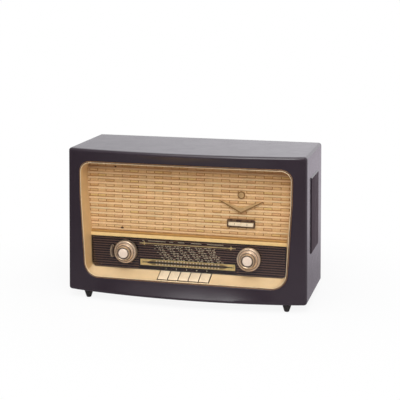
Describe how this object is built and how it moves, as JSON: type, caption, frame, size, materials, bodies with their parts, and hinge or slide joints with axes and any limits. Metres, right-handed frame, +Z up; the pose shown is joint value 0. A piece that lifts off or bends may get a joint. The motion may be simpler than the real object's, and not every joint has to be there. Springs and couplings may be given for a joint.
{
  "type": "radio receiver",
  "caption": "Table radio receiver with a bowed dark case, woven grille, glass tuning dial, turning knobs, tipping wave keys and a valve chassis behind a vented back.",
  "frame": {"origin": "centre of the box round the whole radio, on the plane of the feet's treads", "axes": "+Z up, the front with the dial faces -Y, +X runs along the dial to the right as the listener sees it"},
  "size_m": [0.5058, 0.225, 0.3175],
  "materials": {
    "case_plastic": "satin moulded thermoplastic, near-black aubergine",
    "foot_rubber": "matte",
    "trim_metal": "anodised bronze bead with a bright inner lip",
    "bezel_plastic": "satin gold lacquer on moulded plastic",
    "rail_metal": "polished gold",
    "grille_cloth": "woven ribbed grille cloth",
    "board": "raw plywood",
    "dial_glass": "printed on its back",
    "dial_print": "dark print with fine lines",
    "scale_gold": "printed gold strip",
    "plate_paint": "dark matt paint",
    "pointer_paint": "red paint",
    "lamp": "clear",
    "switch_metal": "bronze lacquer",
    "key_ivory": "polished ivory plastic",
    "bakelite": "phenolic",
    "ornament_metal": "satin gold",
    "knob_plastic": "champagne metallic plastic",
    "collar_metal": "polished",
    "cap_ivory": "polished ivory plastic",
    "shaft_steel": "turned",
    "bush_brass": "turned",
    "control_can": "pressed",
    "drum_plastic": "moulded",
    "condenser_metal": "plain",
    "bracket_steel": "zinc plated",
    "cone_paper": "pressed paper",
    "magnet_iron": "plain",
    "chassis_steel": "zinc plated",
    "valve_glass": "clear glass with a dark getter",
    "core_iron": "laminated",
    "winding_paper": "waxed paper",
    "can_aluminium": "drawn",
    "ferrite": "ferrite with a wound coil",
    "board_brown": "laminated board",
    "grommet_rubber": "matte",
    "fibre_board": "pressed fibre board",
    "screw_steel": "plated"
  },
  "bodies": {
    "cabinet": {"case_shell": "case_plastic", "feet": "foot_rubber", "opening_trim": "trim_metal", "bezel_tray": "bezel_plastic", "dial_rail": "rail_metal", "grille_cloth": "grille_cloth", "baffle_board": "board", "dial_glass": "dial_glass", "dial_mask": "dial_print", "scale_strip": "scale_gold", "dial_backplate": "plate_paint", "dial_lamps": "lamp", "switch_frame": "switch_metal", "tone_switch": "bakelite", "chevron": "ornament_metal", "plain_stud": "ornament_metal", "volume_control": "control_can", "tuning_bush": "bush_brass", "capacitor_frame": "condenser_metal", "capacitor_stator": "condenser_metal", "key_shaft": "shaft_steel", "key_frame": "bracket_steel", "speaker_frame": "bracket_steel", "speaker_cone": "cone_paper", "speaker_magnet": "magnet_iron", "chassis": "chassis_steel", "valve_sockets": "bakelite", "valves": "valve_glass", "mains_core": "core_iron", "mains_winding": "winding_paper", "output_transformer": "core_iron", "screening_cans": "can_aluminium", "aerial_rod": "ferrite", "aerial_brackets": "board_brown", "socket_plate": "bakelite", "cord_grommet": "grommet_rubber", "back_cover": "fibre_board", "cover_screws": "screw_steel", "baffle_screws": "screw_steel", "chassis_screws": "screw_steel"},
    "volume_knob": {"volume_knob": "knob_plastic", "volume_knob_collar": "collar_metal", "volume_knob_cap": "cap_ivory", "volume_shaft": "shaft_steel"},
    "tone_ring": {"tone_ring": "knob_plastic", "tone_shaft": "shaft_steel"},
    "tuning_knob": {"tuning_knob": "knob_plastic", "tuning_knob_collar": "collar_metal", "tuning_knob_cap": "cap_ivory", "tuning_shaft": "shaft_steel"},
    "tuning_drum": {"tuning_drum": "drum_plastic", "capacitor_rotor": "condenser_metal"},
    "pointer": {"pointer": "pointer_paint"},
    "tone_key_left": {"tone_key_left": "key_ivory"},
    "tone_key_right": {"tone_key_right": "key_ivory"},
    "wave_key_1": {"wave_key_1": "key_ivory"},
    "wave_key_2": {"wave_key_2": "key_ivory"},
    "wave_key_3": {"wave_key_3": "key_ivory"},
    "wave_key_4": {"wave_key_4": "key_ivory"},
    "wave_key_5": {"wave_key_5": "key_ivory"}
  },
  "joints": [
    {"name": "volume_turn", "type": "hinge", "parent": "cabinet", "child": "volume_knob", "pos_m": [-0.13065, -0.0705, 0.1015], "axis": [0, 1, 0], "range_deg": [-150, 150]},
    {"name": "tone_turn", "type": "hinge", "parent": "cabinet", "child": "tone_ring", "pos_m": [-0.13065, -0.0705, 0.1015], "axis": [0, 1, 0], "range_deg": [-50, 50]},
    {"name": "tuning_turn", "type": "hinge", "parent": "cabinet", "child": "tuning_knob", "pos_m": [0.13065, -0.0705, 0.1015], "axis": [0, 1, 0], "range_deg": [-1346, 1346]},
    {"name": "drum_turn", "type": "hinge", "parent": "cabinet", "child": "tuning_drum", "pos_m": [0.06, -0.0405, 0.1205], "axis": [0, 1, 0], "range_deg": [-90, 90]},
    {"name": "pointer_slide", "type": "slide", "parent": "cabinet", "child": "pointer", "axis": [1, 0, 0], "range_m": [-0.094, 0.094]},
    {"name": "tone_key_right_push", "type": "slide", "parent": "cabinet", "child": "tone_key_right", "axis": [0, 1, 0], "range_m": [0, 0.0025]},
    {"name": "tone_key_left_push", "type": "slide", "parent": "cabinet", "child": "tone_key_left", "axis": [0, 1, 0], "range_m": [-0.0025, 0]},
    {"name": "wave_key_1_tip", "type": "hinge", "parent": "cabinet", "child": "wave_key_1", "pos_m": [-0.0452, -0.0345, 0.0465], "axis": [1, 0, 0], "range_deg": [0, 5], "stiffness_Nm_per_rad": 0.1, "springref_deg": -22.92},
    {"name": "wave_key_2_tip", "type": "hinge", "parent": "cabinet", "child": "wave_key_2", "pos_m": [-0.0235, -0.0345, 0.0465], "axis": [1, 0, 0], "range_deg": [0, 5], "stiffness_Nm_per_rad": 0.1, "springref_deg": -22.92},
    {"name": "wave_key_3_tip", "type": "hinge", "parent": "cabinet", "child": "wave_key_3", "pos_m": [-0.0018, -0.0345, 0.0465], "axis": [1, 0, 0], "range_deg": [0, 5], "stiffness_Nm_per_rad": 0.1, "springref_deg": -22.92},
    {"name": "wave_key_4_tip", "type": "hinge", "parent": "cabinet", "child": "wave_key_4", "pos_m": [0.0199, -0.0345, 0.0465], "axis": [1, 0, 0], "range_deg": [0, 5], "stiffness_Nm_per_rad": 0.1, "springref_deg": -22.92},
    {"name": "wave_key_5_tip", "type": "hinge", "parent": "cabinet", "child": "wave_key_5", "pos_m": [0.0416, -0.0345, 0.0465], "axis": [1, 0, 0], "range_deg": [0, 5], "stiffness_Nm_per_rad": 0.1, "springref_deg": -22.92}
  ],
  "couplings": [
    {"joint": "drum_turn", "follows": "tuning_turn", "ratio": 0.066667},
    {"joint": "pointer_slide", "follows": "tuning_turn", "m_per_rad": 0.004},
    {"joint": "tone_key_left_push", "follows": "tone_key_right_push", "ratio": -1}
  ]
}
